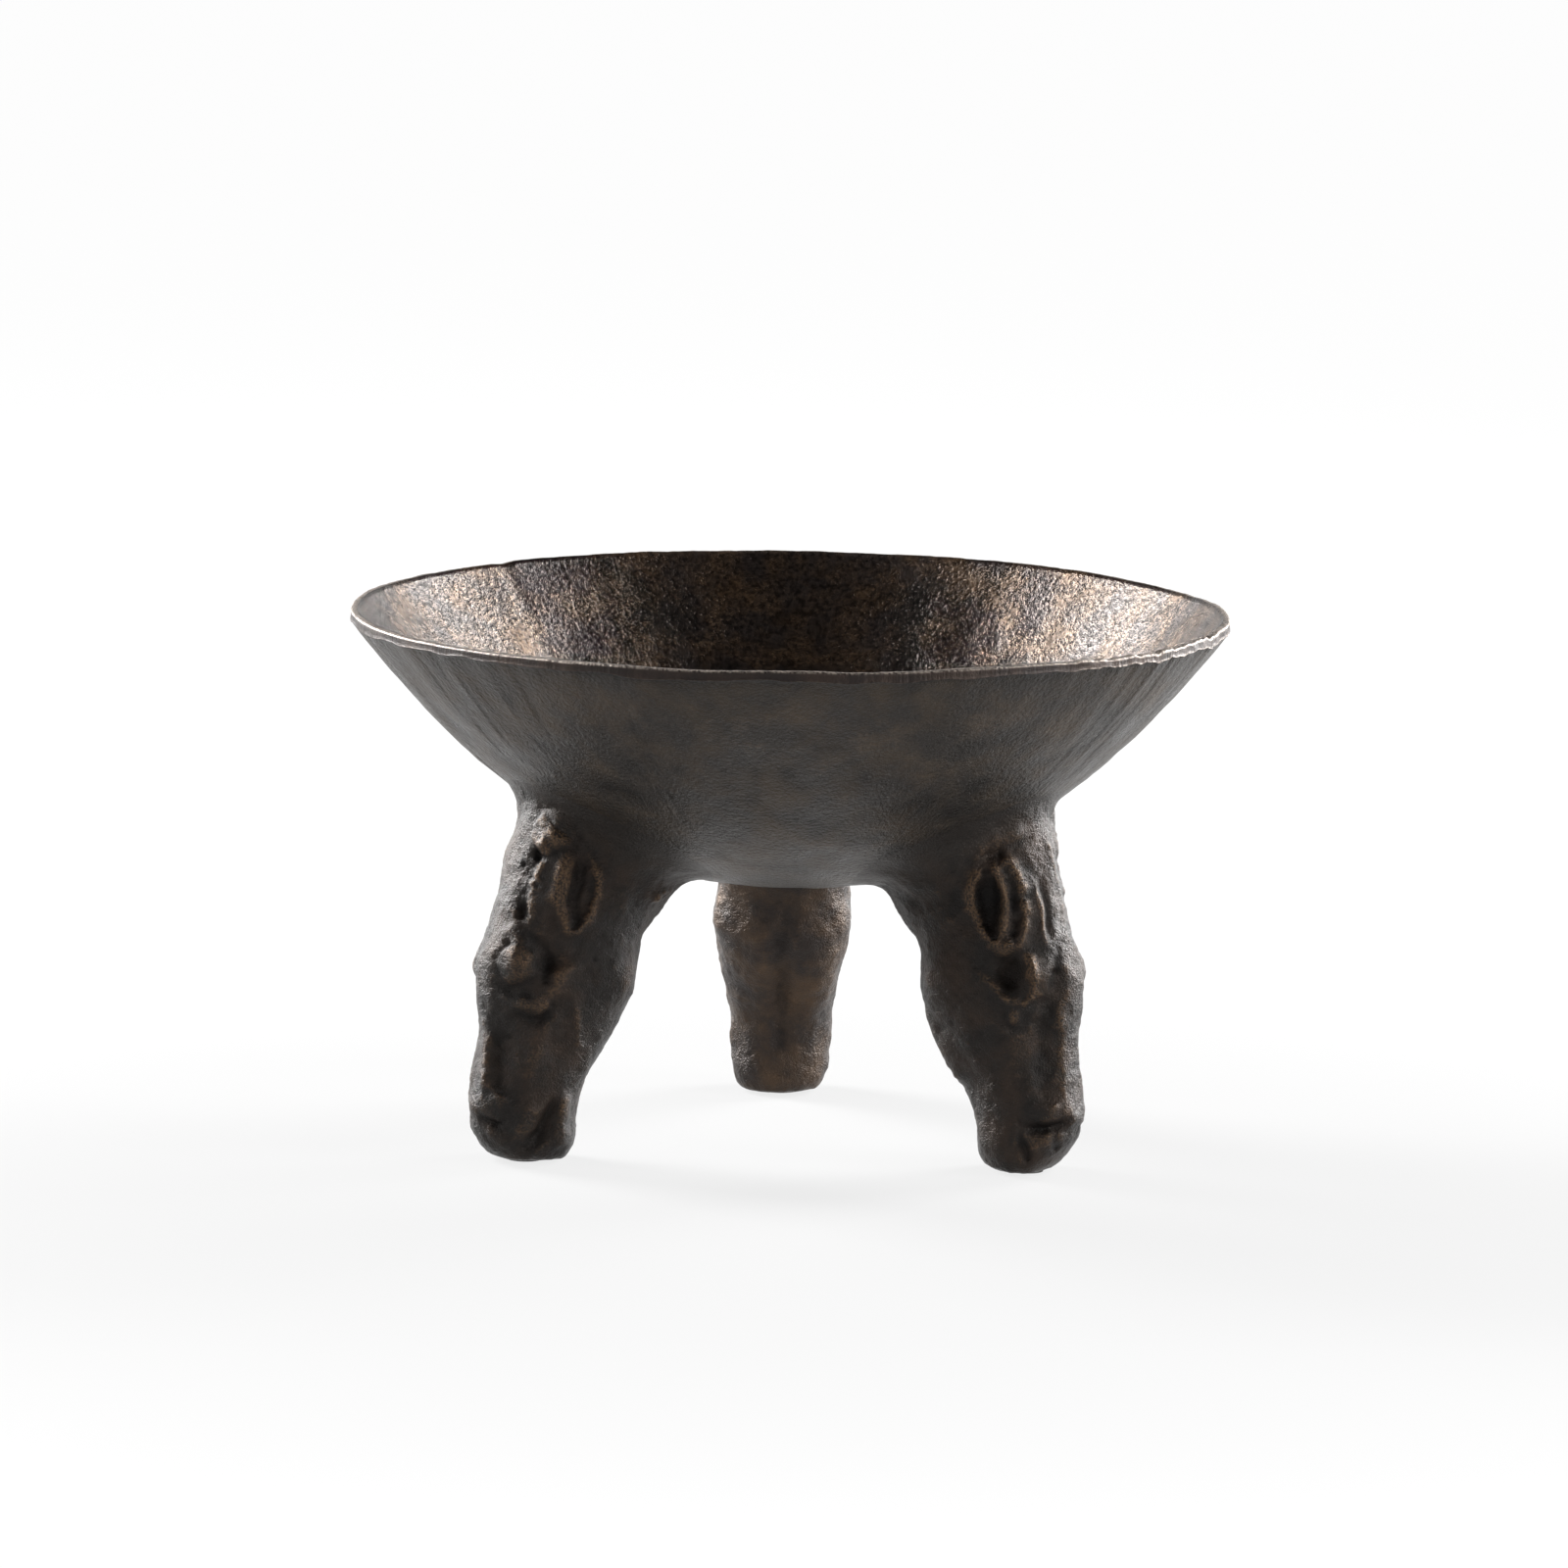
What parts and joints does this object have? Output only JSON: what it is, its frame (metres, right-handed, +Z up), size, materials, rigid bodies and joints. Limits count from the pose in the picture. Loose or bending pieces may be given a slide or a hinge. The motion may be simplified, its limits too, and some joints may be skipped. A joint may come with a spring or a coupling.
{
  "type": "tripod bowl",
  "caption": "Wide shallow cast-bronze bowl on splayed legs, each sculpted as a horse's head with its muzzle down; an open centrepiece that stands on its muzzles.",
  "frame": {"origin": "on the surface that the bowl stands on, below the centre of its rim", "axes": "+Z up along the bowl's axis; +Y towards the back leg; the other two legs stand to the front left and front right"},
  "size_m": [0.406, 0.406, 0.25],
  "materials": {
    "bowl": "cast bronze with a dark brown patina: pebbled and glossy inside, satin and streaked outside, trimmed rim",
    "legs": "cast bronze with a dark brown patina, worn warmer on the raised edges",
    "welds": "bronze weld dressed smooth and patinated to match",
    "foot_pads": "thin black rubber, matt"
  },
  "bodies": {
    "root": {"bowl": "bowl", "leg_back": "legs", "leg_front_left": "legs", "leg_front_right": "legs", "weld_back": "welds", "weld_front_left": "welds", "weld_front_right": "welds", "foot_pad_back": "foot_pads", "foot_pad_front_left": "foot_pads", "foot_pad_front_right": "foot_pads"}
  },
  "joints": []
}
